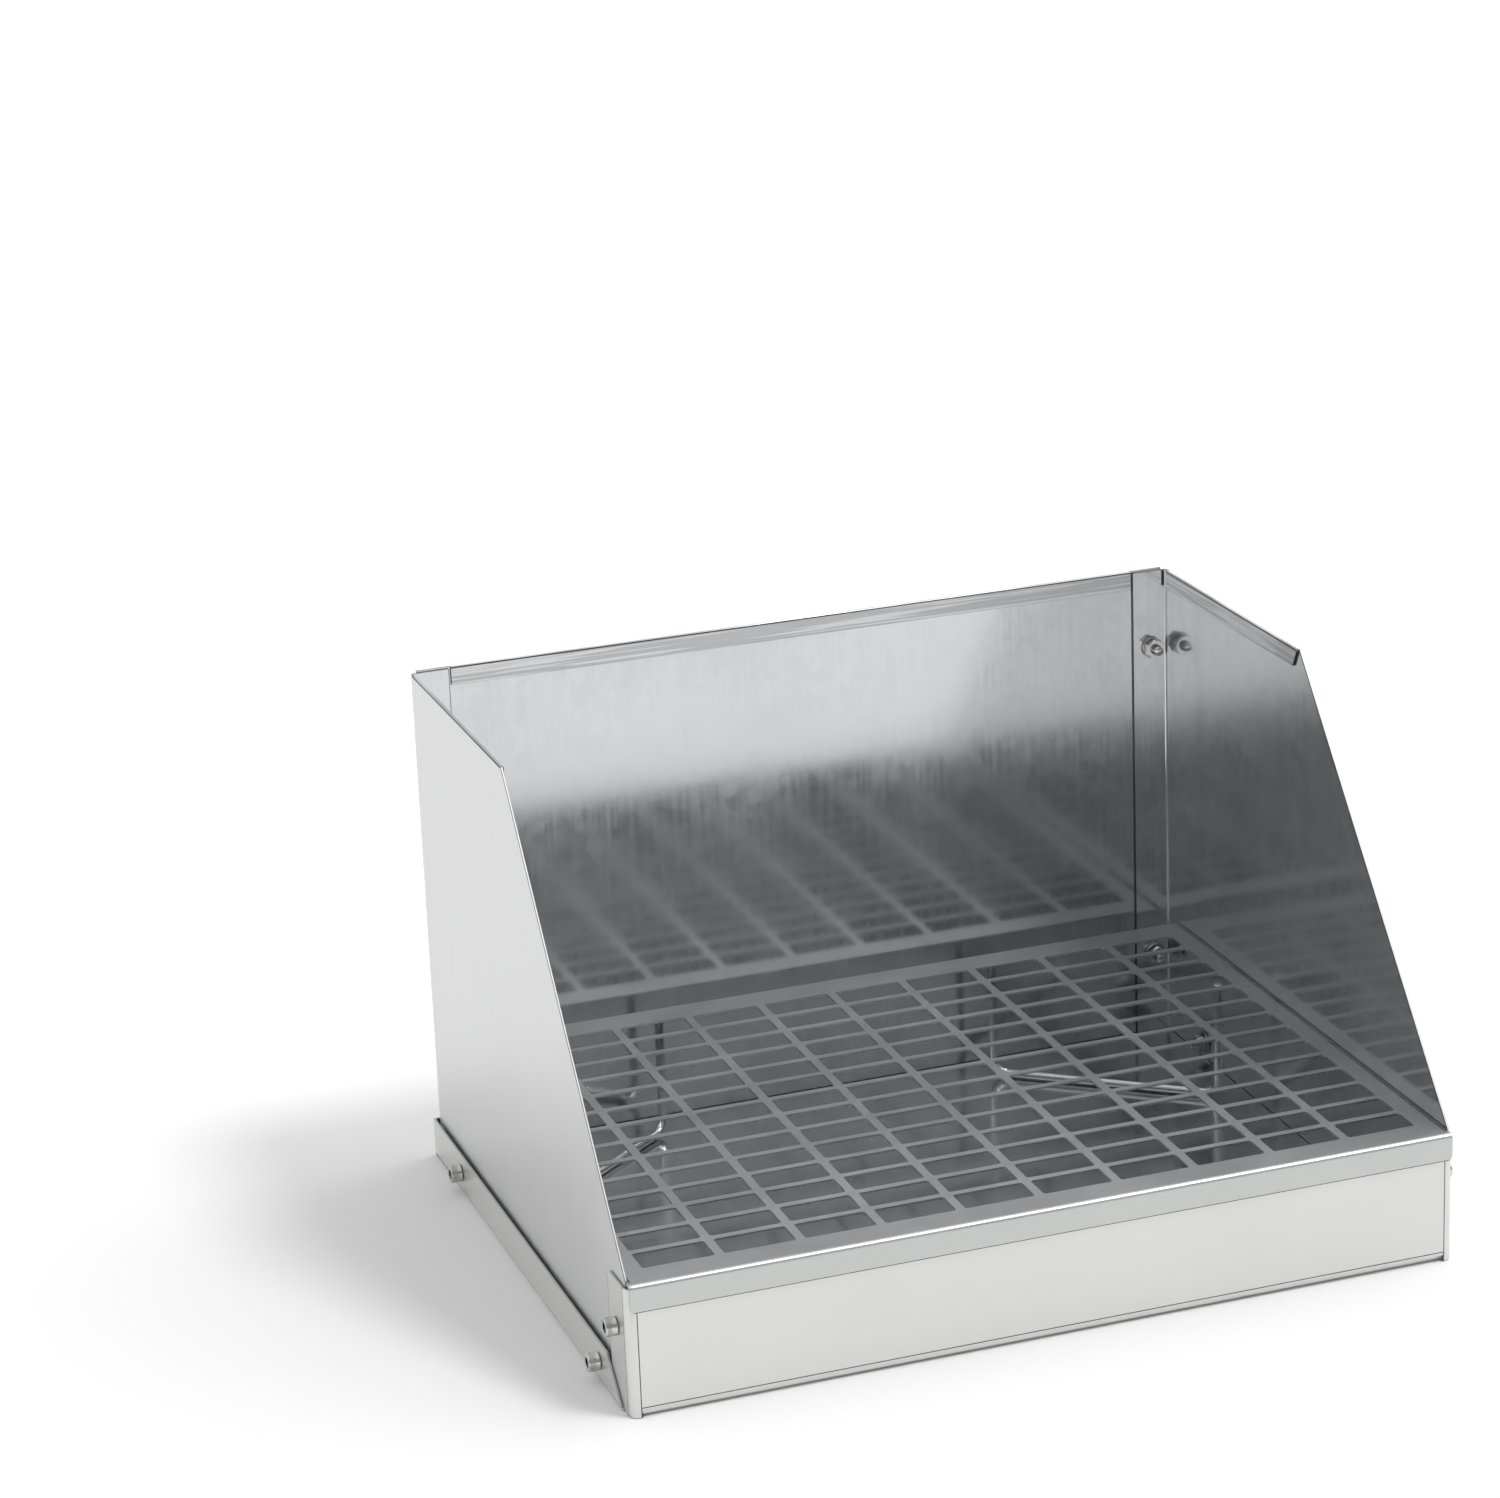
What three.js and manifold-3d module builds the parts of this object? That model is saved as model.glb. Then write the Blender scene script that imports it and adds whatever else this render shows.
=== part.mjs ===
// High-backed rabbit litter box: a bolted kit of thin sheet-metal panels round a shallow pan,
// with a slotted grate that lifts out. Millimetres, +Z up, the open front faces -Y.
import * as THREE from 'three';
import { mergeVertices } from 'three/addons/utils/BufferGeometryUtils.js';
import Module from 'manifold-3d';

const wasm = await Module();
wasm.setup();

// ---- Driving dimensions -------------------------------------------------------------------
const boxWidth = 450; // outside of the pan's side flanges
const boxDepth = 350; // front wall's face to the pan's back flange
const boxHeight = 282; // top of the side panels
const sheet = 1; // every panel's thickness
const gap = 0.3; // between pieces that lie on each other

const panFlangeHeight = 22;
const panFlangeNose = 11; // where the flange's slanted front end meets the floor
const wallBend = 5; // outer bend radius of the front wall
const grateLevel = 71.5; // top face of the grate
const tabLength = 29; // side tab, measured from the front wall's face
const tabCorner = 4;

const topEdgeFront = 175; // where a side panel's level top edge starts, from the front
const slopeFoot = 73; // height where the sloped front edge ends
const panelFrontGap = 0.5; // side panel's front edge behind the front wall's inner curve
const returnWidth = 21.4; // side panel's fold in front of the back panel
const returnBend = 2;
const hemHeight = 10.5;
const hemGap = 0.2;
const hemRelief = 5; // how far the hem's cut end slants back
const hemEndGap = 3; // side hem's rear end to the return fold
const backEdge = 6; // back panel's side edge, in from the box's outside
const backRise = 1; // back panel's top above the side panels
const backHemGap = 1; // back hem's end to the return fold

const slotColumns = 10;
const slotRows = 14;
const longBar = 4.8; // bars that run front to back
const crossBar = 4;
const grateSideGap = 1.7; // grate's edge to the side panel's inner face
const grateSideBorder = 10.2;
const grateFrontBorder = 16.5; // front wall's face to the first slots
const grateBackBorder = 18;
const grateBackGap = 16; // grate's rear edge to the box's back
const lipDrop = 14.5; // lip's lower edge under the grate's top face
const lipBend = 2.5;
const lipInset = 3; // lip's end, in from the box's outside
const lipCorner = 3;

const rodRadius = 2.5;
const rodBend = 9;
const innerLegOut = 100; // support's rear leg, out from the box's middle
const innerLegAhead = 28; // and ahead of the box's back
const outerLegInset = 22; // its other leg, in from the box's outside
const outerLegAhead = 110;

const threadRadius = 2.9;
const holeRadius = 3.3;
const nutBoreRadius = 3.1;
const headRadius = 4.8;
const headLength = 6.2;
const headChamfer = 0.5;
const socketFlats = 5;
const socketDepth = 3.2;
const washerRadius = 6.2;
const washerThickness = 1.2;
const nutFlats = 10;
const nutThickness = 5;
const threadEnd = 3.6; // screw's end beyond its nut

const tabScrewBack = 18; // tab's screw behind the front wall's face
const tabScrewHeight = 43;
const panScrewHeight = 11; // half of the pan's flange
const frontPanScrewBack = 47;
const rearPanScrewAhead = 54; // rear pan screw ahead of the box's back
const backScrewInset = 12.5; // back screws, in from the box's outside
const upperScrewDrop = 45; // upper back screw under the top edge
const lowerScrewHeight = 50;

// ---- Finish of the curves -------------------------------------------------------------------
const cornerSteps = 6; // straight steps in a quarter or half turn of a drawn corner
const foldSteps = 4; // steps in a side panel's quarter-turn fold
const rodSteps = 5; // half of a rod's sides
const ringSteps = 8; // half of a washer's or a bore's sides
const turnedSides = 20; // sides of a turned screw and of a drilled hole
const cutRun = 2; // how far a cutter runs past what it cuts
const joinLap = 0.5; // how far joined blocks of one piece run into each other

// ---- Places that follow from them ---------------------------------------------------------
const halfWidth = boxWidth / 2;
const wallHalf = halfWidth - sheet - gap; // tabs lie inside the pan's side flanges
const panelFace = wallHalf - sheet - gap; // side panel's outer face, inside the tabs
const panelInner = panelFace - sheet;
const bendInner = wallBend - sheet;
const bendAtPanel = wallBend - Math.sqrt(bendInner ** 2 - (bendInner - gap) ** 2);
const panelFront = bendAtPanel + panelFrontGap;
const floorClear = sheet + gap;
const lipFace = -gap - sheet;
const backPanelRear = boxDepth - sheet - gap;
const backPanelFront = backPanelRear - sheet;
const returnRear = backPanelFront - gap;
const returnFront = returnRear - sheet;
const wallTop = grateLevel - lipBend;
const rearPanScrewBack = boxDepth - rearPanScrewAhead;
const backHeadEnd = backPanelRear + gap + headLength;
const frontToMiddle = (lipFace + backHeadEnd) / 2; // from the front wall's face to the middle

// ---- Solids ------------------------------------------------------------------------------
function toSolid(geometry) {
  const bare = geometry.clone();
  bare.deleteAttribute('normal');
  bare.deleteAttribute('uv');
  const merged = mergeVertices(bare, 1e-4);
  return new wasm.Manifold(new wasm.Mesh({
    numProp: 3,
    vertProperties: Float32Array.from(merged.attributes.position.array),
    triVerts: Uint32Array.from(merged.index.array),
  }));
}

function toGeometry(solid) {
  const mesh = solid.getMesh();
  const geometry = new THREE.BufferGeometry();
  geometry.setAttribute('position', new THREE.BufferAttribute(mesh.vertProperties, 3));
  geometry.setIndex(new THREE.BufferAttribute(mesh.triVerts, 1));
  geometry.computeVertexNormals();
  return geometry;
}

// A box from its low corner to its high corner.
function block(low, high) {
  const size = high.map((value, axis) => value - low[axis]);
  const geometry = new THREE.BoxGeometry(...size);
  geometry.translate(...low.map((value, axis) => value + size[axis] / 2));
  return toSolid(geometry);
}

function polygon(points) {
  return new THREE.Shape(points.map(([a, b]) => new THREE.Vector2(a, b)));
}

function extrude(shape, depth, curveSegments = cornerSteps) {
  return new THREE.ExtrudeGeometry(shape, { depth, bevelEnabled: false, curveSegments });
}

// A shape drawn in x and y, standing from one height to another.
function upright(shape, low, high, curveSegments) {
  const geometry = extrude(shape, high - low, curveSegments);
  geometry.translate(0, 0, low);
  return toSolid(geometry);
}

// A shape drawn in y and z, running across from one x to another.
function across(shape, low, high, curveSegments) {
  const geometry = extrude(shape, high - low, curveSegments);
  geometry.applyMatrix4(new THREE.Matrix4().makeBasis(
    new THREE.Vector3(0, 1, 0),
    new THREE.Vector3(0, 0, 1),
    new THREE.Vector3(1, 0, 0),
  ));
  geometry.translate(low, 0, 0);
  return toSolid(geometry);
}

function union(...solids) {
  return solids.reduce((whole, piece) => whole.add(piece));
}

// Turns a geometry made along +Y so that it runs along a direction from a place.
function aim(geometry, direction, place) {
  const turn = new THREE.Quaternion().setFromUnitVectors(new THREE.Vector3(0, 1, 0), direction);
  geometry.applyQuaternion(turn);
  geometry.translate(place.x, place.y, place.z);
  return geometry;
}

function lathe(points, segments) {
  return new THREE.LatheGeometry(points.map(([r, y]) => new THREE.Vector2(r, y)), segments);
}

function hexagon(flats, boreRadius) {
  const shape = new THREE.Shape();
  const corner = flats / Math.sqrt(3);
  for (let side = 0; side < 6; side += 1) {
    const angle = (side * Math.PI) / 3;
    const point = [corner * Math.cos(angle), corner * Math.sin(angle)];
    if (side === 0) shape.moveTo(...point);
    else shape.lineTo(...point);
  }
  shape.closePath();
  if (boreRadius) {
    const bore = new THREE.Path();
    bore.absarc(0, 0, boreRadius, 0, Math.PI * 2, true);
    shape.holes.push(bore);
  }
  return shape;
}

// ---- Fasteners' places -------------------------------------------------------------------
// Each is a name, a point on the outermost face, the direction in, the depth of sheet that the
// screw passes and the sheet faces it needs a hole in.
const X = new THREE.Vector3(1, 0, 0);
const Y = new THREE.Vector3(0, 1, 0);

function sideFastener(side, name, back, height, outerFace) {
  return {
    name: `${side < 0 ? 'left' : 'right'}_${name}`,
    point: new THREE.Vector3(side * outerFace, back, height),
    inward: X.clone().multiplyScalar(-side),
    grip: outerFace - panelInner,
  };
}

function backFastener(side, name, height) {
  return {
    name: `${side < 0 ? 'left' : 'right'}_${name}_back`,
    point: new THREE.Vector3(side * (halfWidth - backScrewInset), backPanelRear, height),
    inward: Y.clone().negate(),
    grip: backPanelRear - returnFront,
  };
}

const fasteners = [];
for (const side of [-1, 1]) {
  fasteners.push(sideFastener(side, 'tab', tabScrewBack, tabScrewHeight, wallHalf));
  fasteners.push(sideFastener(side, 'front_pan', frontPanScrewBack, panScrewHeight, halfWidth));
  fasteners.push(sideFastener(side, 'rear_pan', rearPanScrewBack, panScrewHeight, halfWidth));
  fasteners.push(backFastener(side, 'upper', boxHeight - upperScrewDrop));
  fasteners.push(backFastener(side, 'lower', lowerScrewHeight));
}

function drilled(solid) {
  return fasteners.reduce((body, { point, inward, grip }) => {
    const drill = new THREE.CylinderGeometry(holeRadius, holeRadius, grip + 2 * cutRun, turnedSides);
    const middle = point.clone().addScaledVector(inward, grip / 2);
    return body.subtract(toSolid(aim(drill, inward, middle)));
  }, solid);
}

// ---- Pan: floor, front wall with side tabs, side and back flanges --------------------------
function frontWallPlan() {
  const shape = new THREE.Shape();
  const outer = wallBend;
  shape.moveTo(-wallHalf, tabLength);
  shape.lineTo(-wallHalf, outer);
  shape.absarc(-wallHalf + outer, outer, outer, Math.PI, Math.PI * 1.5, false);
  shape.lineTo(wallHalf - outer, 0);
  shape.absarc(wallHalf - outer, outer, outer, -Math.PI / 2, 0, false);
  shape.lineTo(wallHalf, tabLength);
  shape.lineTo(wallHalf - sheet, tabLength);
  shape.lineTo(wallHalf - sheet, outer);
  shape.absarc(wallHalf - outer, outer, bendInner, 0, -Math.PI / 2, true);
  shape.lineTo(-wallHalf + outer, sheet);
  shape.absarc(-wallHalf + outer, outer, bendInner, -Math.PI / 2, -Math.PI, true);
  shape.lineTo(-wallHalf + sheet, tabLength);
  shape.closePath();
  return shape;
}

function floorBendSection() {
  const shape = new THREE.Shape();
  shape.moveTo(0, wallBend);
  shape.absarc(wallBend, wallBend, wallBend, Math.PI, Math.PI * 1.5, false);
  shape.lineTo(wallBend + 2 * joinLap, 0);
  shape.lineTo(wallBend + 2 * joinLap, sheet);
  shape.lineTo(wallBend, sheet);
  shape.absarc(wallBend, wallBend, bendInner, -Math.PI / 2, -Math.PI, true);
  shape.lineTo(sheet, wallBend + 2 * joinLap);
  shape.lineTo(0, wallBend + 2 * joinLap);
  shape.closePath();
  return shape;
}

function tabCornerCutter() {
  const shape = new THREE.Shape();
  shape.moveTo(tabLength - tabCorner, wallTop + cutRun);
  shape.lineTo(tabLength - tabCorner, wallTop);
  shape.absarc(tabLength - tabCorner, wallTop - tabCorner, tabCorner, Math.PI / 2, 0, true);
  shape.lineTo(tabLength + cutRun, wallTop - tabCorner);
  shape.lineTo(tabLength + cutRun, wallTop + cutRun);
  shape.closePath();
  return across(shape, -halfWidth, halfWidth);
}

function makePan() {
  const bendHalf = wallHalf - wallBend;
  const floorFront = wallBend + joinLap;
  const wall = upright(frontWallPlan(), gap, wallTop)
    .subtract(block([-bendHalf, -cutRun, 0], [bendHalf, wallBend, wallBend]))
    .subtract(block([-halfWidth, panFlangeNose - gap, 0], [halfWidth, boxDepth, floorClear]))
    .subtract(tabCornerCutter());
  const bend = across(floorBendSection(), -bendHalf, bendHalf);
  const noseHalf = wallHalf - sheet - gap;
  const floor = union(
    block([-noseHalf, floorFront, 0], [noseHalf, boxDepth, sheet]),
    block([-halfWidth, panFlangeNose, 0], [halfWidth, boxDepth, sheet]),
  );
  const flangeSide = polygon([
    [panFlangeNose, 0],
    [boxDepth, 0],
    [boxDepth, panFlangeHeight],
    [panFlangeNose + panFlangeHeight, panFlangeHeight],
  ]);
  const flanges = [
    across(flangeSide, -halfWidth, -halfWidth + sheet),
    across(flangeSide, halfWidth - sheet, halfWidth),
    block([-wallHalf, boxDepth - sheet, 0], [wallHalf, boxDepth, panFlangeHeight]),
  ];
  return drilled(union(wall, bend, floor, ...flanges));
}

// ---- Side panels, drawn for the left and mirrored for the right ----------------------------
function returnPlan(side) {
  const face = side * panelFace;
  const bendX = side * (panelFace - returnBend);
  const bendY = returnRear - returnBend;
  const inner = returnBend - sheet;
  const points = [[face, bendY - joinLap], [face, bendY]];
  const arc = (radius, step) => {
    const angle = (step / foldSteps) * (Math.PI / 2);
    return [bendX + side * radius * Math.cos(angle), bendY + radius * Math.sin(angle)];
  };
  for (let step = 1; step <= foldSteps; step += 1) points.push(arc(returnBend, step));
  points.push([side * (panelFace - returnWidth), returnRear]);
  points.push([side * (panelFace - returnWidth), returnFront]);
  for (let step = foldSteps; step >= 0; step -= 1) points.push(arc(inner, step));
  points.push([side * panelInner, bendY - joinLap]);
  return polygon(side < 0 ? points.reverse() : points);
}

function makeSidePanel(side) {
  const outline = polygon([
    [panelFront, floorClear],
    [returnRear - returnBend, floorClear],
    [returnRear - returnBend, boxHeight],
    [topEdgeFront, boxHeight],
    [panelFront, slopeFoot],
  ]);
  const hemRear = returnFront - hemEndGap;
  const hemOutline = polygon([
    [topEdgeFront + hemRelief, boxHeight - hemHeight],
    [hemRear, boxHeight - hemHeight],
    [hemRear, boxHeight],
    [topEdgeFront, boxHeight],
  ]);
  const hemOuter = panelInner - hemGap;
  const spans = (low, high) => (side < 0 ? [-high, -low] : [low, high]);
  const crest = spans(hemOuter - sheet, panelFace);
  const panel = across(outline, ...spans(panelInner, panelFace));
  const hem = across(hemOutline, ...spans(hemOuter - sheet, hemOuter));
  const fold = block([crest[0], topEdgeFront, boxHeight - sheet], [crest[1], hemRear, boxHeight]);
  const flange = upright(returnPlan(side), floorClear, boxHeight);
  return drilled(union(panel, hem, fold, flange));
}

// ---- Back panel ----------------------------------------------------------------------------
function makeBackPanel() {
  const half = halfWidth - backEdge;
  const top = boxHeight + backRise;
  const hemHalf = panelFace - returnWidth - backHemGap;
  const hemRear = backPanelFront - hemGap;
  const plate = block([-half, backPanelFront, floorClear], [half, backPanelRear, top]);
  const hem = block([-hemHalf, hemRear - sheet, top - hemHeight], [hemHalf, hemRear, top]);
  const fold = block([-hemHalf, hemRear - sheet, top - sheet], [hemHalf, backPanelRear, top]);
  return drilled(union(plate, hem, fold));
}

// ---- Grate: slotted plate with its front edge folded down into a lip ------------------------
function makeGrate() {
  const half = panelInner - grateSideGap;
  const rear = boxDepth - grateBackGap;
  const underside = grateLevel - sheet;
  const slotsLeft = -half + grateSideBorder;
  const slotsWidth = 2 * (half - grateSideBorder);
  const slotsDepth = rear - grateBackBorder - grateFrontBorder;
  const slotWidth = (slotsWidth - (slotColumns - 1) * longBar) / slotColumns;
  const slotDepth = (slotsDepth - (slotRows - 1) * crossBar) / slotRows;

  let plate = block([-half, panelFront, underside], [half, rear, grateLevel]);
  for (let column = 0; column < slotColumns; column += 1) {
    for (let row = 0; row < slotRows; row += 1) {
      const x = slotsLeft + column * (slotWidth + longBar);
      const y = grateFrontBorder + row * (slotDepth + crossBar);
      const low = [x, y, underside - cutRun];
      const high = [x + slotWidth, y + slotDepth, grateLevel + cutRun];
      plate = plate.subtract(block(low, high));
    }
  }

  const lipHalf = halfWidth - lipInset;
  const lipFoot = grateLevel - lipDrop;
  const tongueEnd = panelFront - gap;
  const centre = [lipFace + lipBend, grateLevel - lipBend];
  const section = new THREE.Shape();
  section.moveTo(lipFace, lipFoot + lipCorner);
  section.lineTo(lipFace + sheet, lipFoot + lipCorner);
  section.lineTo(lipFace + sheet, centre[1]);
  section.absarc(...centre, lipBend - sheet, Math.PI, Math.PI / 2, true);
  section.lineTo(tongueEnd, underside);
  section.lineTo(tongueEnd, grateLevel);
  section.lineTo(centre[0], grateLevel);
  section.absarc(...centre, lipBend, Math.PI / 2, Math.PI, false);
  section.closePath();
  const lip = across(section, -lipHalf, lipHalf);

  const skirtPlan = new THREE.Shape();
  skirtPlan.moveTo(-lipHalf, lipFoot + lipCorner + joinLap);
  skirtPlan.lineTo(-lipHalf, lipFoot + lipCorner);
  skirtPlan.absarc(-lipHalf + lipCorner, lipFoot + lipCorner, lipCorner, Math.PI, Math.PI * 1.5, false);
  skirtPlan.absarc(lipHalf - lipCorner, lipFoot + lipCorner, lipCorner, -Math.PI / 2, 0, false);
  skirtPlan.lineTo(lipHalf, lipFoot + lipCorner + joinLap);
  skirtPlan.closePath();
  const skirt = extrude(skirtPlan, sheet);
  skirt.rotateX(Math.PI / 2);
  skirt.translate(0, lipFace + sheet, 0);

  const bridge = block([-half, tongueEnd - joinLap, underside], [half, tongueEnd + joinLap, grateLevel]);
  return union(plate, bridge, lip, toSolid(skirt));
}

// ---- Rod supports under the grate's rear corners --------------------------------------------
function makeSupport(side) {
  const top = grateLevel - sheet - gap;
  const low = floorClear + rodRadius;
  const inner = new THREE.Vector3(side * innerLegOut, boxDepth - innerLegAhead, low);
  const outer = new THREE.Vector3(side * (halfWidth - outerLegInset), boxDepth - outerLegAhead, low);
  const run = outer.clone().sub(inner).normalize();
  const lift = new THREE.Vector3(0, 0, 1);
  const path = new THREE.CurvePath();
  const bend = (corner, from, to) => {
    const start = corner.clone().addScaledVector(from, rodBend);
    const end = corner.clone().addScaledVector(to, rodBend);
    return { start, end, curve: new THREE.QuadraticBezierCurve3(start, corner, end) };
  };
  const first = bend(inner, lift, run);
  const second = bend(outer, run.clone().negate(), lift);
  path.add(new THREE.LineCurve3(inner.clone().setZ(top), first.start));
  path.add(first.curve);
  path.add(new THREE.LineCurve3(first.end, second.start));
  path.add(second.curve);
  path.add(new THREE.LineCurve3(second.end, outer.clone().setZ(top)));
  const section = new THREE.Shape();
  section.absarc(0, 0, rodRadius, 0, Math.PI * 2, false);
  const rod = new THREE.ExtrudeGeometry(section, {
    steps: Math.round(path.getLength() / (2 * rodRadius)),
    curveSegments: rodSteps,
    extrudePath: path,
  });
  return toSolid(rod);
}

// ---- Screws, washers and nuts ---------------------------------------------------------------
const washerStart = gap;
const nutStart = washerStart + washerThickness + gap;

function makeScrew({ point, inward, grip }) {
  const length = grip + nutStart + nutThickness + threadEnd;
  const profile = [
    [0, -headLength - gap],
    [headRadius - headChamfer, -headLength - gap],
    [headRadius, -headLength - gap + headChamfer],
    [headRadius, -gap],
    [threadRadius, -gap],
    [threadRadius, length - headChamfer],
    [threadRadius - headChamfer, length],
    [0, length],
  ];
  const body = toSolid(aim(lathe(profile, turnedSides), inward, point));
  const socket = extrude(hexagon(socketFlats), socketDepth + cutRun);
  socket.rotateX(-Math.PI / 2);
  const mouth = point.clone().addScaledVector(inward, -headLength - gap - cutRun);
  return body.subtract(toSolid(aim(socket, inward, mouth)));
}

function ring(shape, thickness, { point, inward, grip }, start) {
  const geometry = extrude(shape, thickness, ringSteps);
  geometry.rotateX(-Math.PI / 2);
  return toSolid(aim(geometry, inward, point.clone().addScaledVector(inward, grip + start)));
}

function makeWasher(fastener) {
  const shape = new THREE.Shape();
  shape.absarc(0, 0, washerRadius, 0, Math.PI * 2, false);
  const bore = new THREE.Path();
  bore.absarc(0, 0, holeRadius, 0, Math.PI * 2, true);
  shape.holes.push(bore);
  return ring(shape, washerThickness, fastener, washerStart);
}

function makeNut(fastener) {
  return ring(hexagon(nutFlats, nutBoreRadius), nutThickness, fastener, nutStart);
}

// ---- Assembly -------------------------------------------------------------------------------
const materials = {
  panel: { color: 0xd9dadb, roughness: 0.32, metalness: 0.9 },
  pan: { color: 0xdcdddd, roughness: 0.38, metalness: 0.9 },
  grate: { color: 0x8f979e, roughness: 0.4, metalness: 0.9 },
  rod: { color: 0xb9bdc2, roughness: 0.18, metalness: 1 },
  fastener: { color: 0xc4c6c8, roughness: 0.2, metalness: 1 },
};

const litterBox = new THREE.Group();
litterBox.position.set(0, -frontToMiddle, 0);

function place(name, solid, look) {
  const mesh = new THREE.Mesh(toGeometry(solid), new THREE.MeshStandardMaterial(materials[look]));
  mesh.name = name;
  litterBox.add(mesh);
}

place('base_pan', makePan(), 'pan');
place('left_side_panel', makeSidePanel(-1), 'panel');
place('right_side_panel', makeSidePanel(1), 'panel');
place('back_panel', makeBackPanel(), 'panel');
place('grate', makeGrate(), 'grate');
place('left_support_rod', makeSupport(-1), 'rod');
place('right_support_rod', makeSupport(1), 'rod');
for (const fastener of fasteners) {
  place(`${fastener.name}_screw`, makeScrew(fastener), 'fastener');
  place(`${fastener.name}_washer`, makeWasher(fastener), 'fastener');
  place(`${fastener.name}_nut`, makeNut(fastener), 'fastener');
}

export default litterBox;
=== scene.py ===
import math

import bmesh
import bpy
from mathutils import Matrix, Vector


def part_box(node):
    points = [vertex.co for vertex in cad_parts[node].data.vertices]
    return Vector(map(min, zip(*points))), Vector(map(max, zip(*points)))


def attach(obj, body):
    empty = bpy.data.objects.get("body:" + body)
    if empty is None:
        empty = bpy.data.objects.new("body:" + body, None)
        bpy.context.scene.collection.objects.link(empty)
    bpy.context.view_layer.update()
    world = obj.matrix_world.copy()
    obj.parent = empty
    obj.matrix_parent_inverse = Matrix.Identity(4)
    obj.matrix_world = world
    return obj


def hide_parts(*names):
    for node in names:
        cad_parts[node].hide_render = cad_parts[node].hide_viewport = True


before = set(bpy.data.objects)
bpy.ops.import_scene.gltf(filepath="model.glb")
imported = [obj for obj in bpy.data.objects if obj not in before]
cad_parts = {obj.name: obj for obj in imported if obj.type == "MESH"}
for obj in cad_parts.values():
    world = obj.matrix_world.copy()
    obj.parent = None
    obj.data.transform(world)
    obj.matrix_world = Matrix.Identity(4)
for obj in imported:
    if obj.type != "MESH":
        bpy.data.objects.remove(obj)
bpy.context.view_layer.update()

# ---- Camera, floor and light --------------------------------------------------------------------
# The box stands on a seamless pale floor in a light tent. The camera looks at the open front from
# the left and a little above, through a long lens, and is turned slightly about its own axis.
mm = 0.001
camera_place = Vector((-0.7777, -2.03105, 0.9908))
camera_aim = Vector((-0.0687, 0.06035, 0.2501))
camera_roll = math.radians(-2.29)

camera_data = bpy.data.cameras.new("camera")
camera_data.sensor_width = 36
camera_data.lens = 105.88
camera = bpy.data.objects.new("camera", camera_data)
bpy.context.collection.objects.link(camera)
sight = (camera_aim - camera_place).to_track_quat("-Z", "Y").to_matrix().to_4x4()
camera.matrix_world = (
    Matrix.Translation(camera_place) @ sight @ Matrix.Rotation(camera_roll, 4, "Z")
)
bpy.context.scene.camera = camera
bpy.context.scene.view_settings.view_transform = "Standard"

floor_material = bpy.data.materials.new("floor_paper")
floor_material.use_nodes = True
floor_shader = floor_material.node_tree.nodes["Principled BSDF"]
floor_shader.inputs["Base Color"].default_value = (0.93, 0.93, 0.93, 1)
floor_shader.inputs["Roughness"].default_value = 0.8
floor_shader.inputs["Specular IOR Level"].default_value = 0.1

floor_mesh = bmesh.new()
bmesh.ops.create_grid(floor_mesh, x_segments=1, y_segments=1, size=20)
floor_data = bpy.data.meshes.new("floor")
floor_mesh.to_mesh(floor_data)
floor_mesh.free()
floor = bpy.data.objects.new("floor", floor_data)
floor.location.z = -0.1 * mm
floor_data.materials.append(floor_material)
bpy.context.collection.objects.link(floor)

# The tent is white low down and overhead, with a greyer band at eye height on the open side.
world = bpy.data.worlds.new("tent")
world.use_nodes = True
bpy.context.scene.world = world
sky = world.node_tree
sky_light = sky.nodes["Background"]
sky_way = sky.nodes.new("ShaderNodeTexCoord")
sky_parts = sky.nodes.new("ShaderNodeSeparateXYZ")
sky.links.new(sky_way.outputs["Generated"], sky_parts.inputs[0])
band = sky.nodes.new("ShaderNodeValToRGB")
band.color_ramp.interpolation = "EASE"
band_stops = ((0.08, 1.0), (0.22, 0.42), (0.62, 0.44), (0.9, 1.0))
for stop, (height, light) in enumerate(band_stops):
    mark = band.color_ramp.elements[stop] if stop < 2 else band.color_ramp.elements.new(height)
    mark.position = height
    mark.color = (light, light, light, 1)
sky.links.new(sky_parts.outputs["Z"], band.inputs[0])
open_side = sky.nodes.new("ShaderNodeMapRange")
open_side.inputs["From Min"].default_value = 0.1
open_side.inputs["From Max"].default_value = -0.5
sky.links.new(sky_parts.outputs["Y"], open_side.inputs["Value"])
tent_mix = sky.nodes.new("ShaderNodeMix")
tent_mix.data_type = "RGBA"
tent_mix.inputs["A"].default_value = (1, 1, 1, 1)
sky.links.new(open_side.outputs[0], tent_mix.inputs["Factor"])
sky.links.new(band.outputs["Color"], tent_mix.inputs["B"])
sky.links.new(tent_mix.outputs["Result"], sky_light.inputs["Color"])
sky_light.inputs["Strength"].default_value = 0.8

# The key light hangs high up at the front right, and a wide diffuser stands lower on the right.
# Each has its strength, its width across the sky in degrees and the way that it shines.
lamps = (
    ("key_light", 1.0, 15, (-0.42, 0.34, -1)),
    ("wide_diffuser", 0.8, 56, (-0.85, 0.1, -0.9)),
)
for lamp_name, energy, width, way in lamps:
    lamp_data = bpy.data.lights.new(lamp_name, "SUN")
    lamp_data.energy = energy
    lamp_data.angle = math.radians(width)
    lamp = bpy.data.objects.new(lamp_name, lamp_data)
    lamp.rotation_euler = Vector(way).to_track_quat("-Z", "Y").to_euler()
    bpy.context.collection.objects.link(lamp)

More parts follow.
